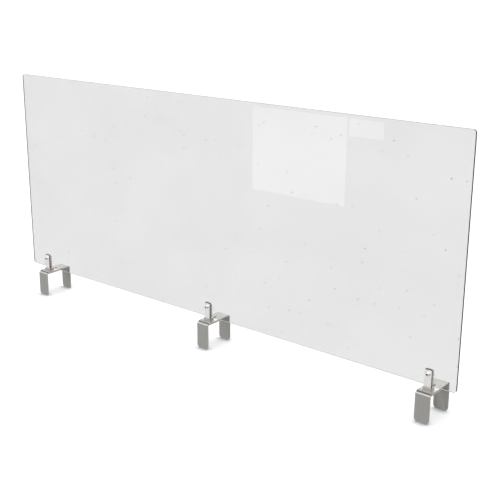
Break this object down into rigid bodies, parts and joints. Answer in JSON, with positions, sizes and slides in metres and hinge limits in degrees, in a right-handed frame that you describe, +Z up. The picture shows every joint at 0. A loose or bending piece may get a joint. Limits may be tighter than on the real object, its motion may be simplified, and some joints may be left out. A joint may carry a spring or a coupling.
{
  "type": "desk privacy panel",
  "caption": "Long clear sheet with rounded corners, held upright in slim bolted jaws on adjustable steel hook clamps that straddle the top edge of a partition.",
  "frame": {"origin": "on the surface that the legs stand on, under the middle of the outline", "axes": "+X along the panel to the right as seen from the side with the screw heads, +Y from that side to the back, +Z up"},
  "size_m": [1.524, 0.096, 0.6987],
  "materials": {
    "clear_sheet": "clear, polished faces and edges",
    "hook_steel": "brushed along the legs",
    "jaw_steel": "light silver-white, satin",
    "block_steel": "milled",
    "screw_steel": "bright, turned",
    "liner_rubber": "matte"
  },
  "bodies": {
    "panel_and_rear_hooks": {"clear_panel": "clear_sheet", "rear_hook_left": "hook_steel", "riser_block_left": "block_steel", "jaw_channel_left": "jaw_steel", "channel_liner_left": "liner_rubber", "jaw_nut_left": "screw_steel", "foot_screws_left": "screw_steel", "rear_hook_middle": "hook_steel", "riser_block_middle": "block_steel", "jaw_channel_middle": "jaw_steel", "channel_liner_middle": "liner_rubber", "jaw_nut_middle": "screw_steel", "foot_screws_middle": "screw_steel", "rear_hook_right": "hook_steel", "riser_block_right": "block_steel", "jaw_channel_right": "jaw_steel", "channel_liner_right": "liner_rubber", "jaw_nut_right": "screw_steel", "foot_screws_right": "screw_steel"},
    "front_hook_left": {"front_hook_left": "hook_steel"},
    "lock_washer_left": {"lock_washer_left": "screw_steel"},
    "lock_screw_left": {"lock_screw_left": "screw_steel"},
    "jaw_washer_left": {"jaw_washer_left": "screw_steel"},
    "jaw_screw_left": {"jaw_screw_left": "screw_steel"},
    "front_hook_middle": {"front_hook_middle": "hook_steel"},
    "lock_washer_middle": {"lock_washer_middle": "screw_steel"},
    "lock_screw_middle": {"lock_screw_middle": "screw_steel"},
    "jaw_washer_middle": {"jaw_washer_middle": "screw_steel"},
    "jaw_screw_middle": {"jaw_screw_middle": "screw_steel"},
    "front_hook_right": {"front_hook_right": "hook_steel"},
    "lock_washer_right": {"lock_washer_right": "screw_steel"},
    "lock_screw_right": {"lock_screw_right": "screw_steel"},
    "jaw_washer_right": {"jaw_washer_right": "screw_steel"},
    "jaw_screw_right": {"jaw_screw_right": "screw_steel"}
  },
  "joints": [
    {"name": "hook_slide_left", "type": "slide", "parent": "panel_and_rear_hooks", "child": "front_hook_left", "axis": [0, 1, 0], "range_m": [0, 0.018]},
    {"name": "lock_lift_left", "type": "slide", "parent": "front_hook_left", "child": "lock_washer_left", "axis": [0, 0, 1], "range_m": [0, 0.0016]},
    {"name": "lock_turn_left", "type": "hinge", "parent": "lock_washer_left", "child": "lock_screw_left", "pos_m": [-0.69, -0.0075, 0.0791], "axis": [0, 0, 1], "range_deg": [0, 720]},
    {"name": "jaw_back_out_left", "type": "slide", "parent": "panel_and_rear_hooks", "child": "jaw_washer_left", "axis": [0, -1, 0], "range_m": [0, 0.0016]},
    {"name": "jaw_turn_left", "type": "hinge", "parent": "jaw_washer_left", "child": "jaw_screw_left", "pos_m": [-0.69, -0.0295, 0.1186], "axis": [0, -1, 0], "range_deg": [0, 720]},
    {"name": "hook_slide_middle", "type": "slide", "parent": "panel_and_rear_hooks", "child": "front_hook_middle", "axis": [0, 1, 0], "range_m": [0, 0.018]},
    {"name": "lock_lift_middle", "type": "slide", "parent": "front_hook_middle", "child": "lock_washer_middle", "axis": [0, 0, 1], "range_m": [0, 0.0016]},
    {"name": "lock_turn_middle", "type": "hinge", "parent": "lock_washer_middle", "child": "lock_screw_middle", "pos_m": [0, -0.0075, 0.0791], "axis": [0, 0, 1], "range_deg": [0, 720]},
    {"name": "jaw_back_out_middle", "type": "slide", "parent": "panel_and_rear_hooks", "child": "jaw_washer_middle", "axis": [0, -1, 0], "range_m": [0, 0.0016]},
    {"name": "jaw_turn_middle", "type": "hinge", "parent": "jaw_washer_middle", "child": "jaw_screw_middle", "pos_m": [0, -0.0295, 0.1186], "axis": [0, -1, 0], "range_deg": [0, 720]},
    {"name": "hook_slide_right", "type": "slide", "parent": "panel_and_rear_hooks", "child": "front_hook_right", "axis": [0, 1, 0], "range_m": [0, 0.018]},
    {"name": "lock_lift_right", "type": "slide", "parent": "front_hook_right", "child": "lock_washer_right", "axis": [0, 0, 1], "range_m": [0, 0.0016]},
    {"name": "lock_turn_right", "type": "hinge", "parent": "lock_washer_right", "child": "lock_screw_right", "pos_m": [0.69, -0.0075, 0.0791], "axis": [0, 0, 1], "range_deg": [0, 720]},
    {"name": "jaw_back_out_right", "type": "slide", "parent": "panel_and_rear_hooks", "child": "jaw_washer_right", "axis": [0, -1, 0], "range_m": [0, 0.0016]},
    {"name": "jaw_turn_right", "type": "hinge", "parent": "jaw_washer_right", "child": "jaw_screw_right", "pos_m": [0.69, -0.0295, 0.1186], "axis": [0, -1, 0], "range_deg": [0, 720]}
  ],
  "couplings": [
    {"joint": "lock_lift_left", "follows": "lock_turn_left", "m_per_rad": 0.00012732},
    {"joint": "jaw_back_out_left", "follows": "jaw_turn_left", "m_per_rad": 0.00012732},
    {"joint": "lock_lift_middle", "follows": "lock_turn_middle", "m_per_rad": 0.00012732},
    {"joint": "jaw_back_out_middle", "follows": "jaw_turn_middle", "m_per_rad": 0.00012732},
    {"joint": "lock_lift_right", "follows": "lock_turn_right", "m_per_rad": 0.00012732},
    {"joint": "jaw_back_out_right", "follows": "jaw_turn_right", "m_per_rad": 0.00012732}
  ]
}
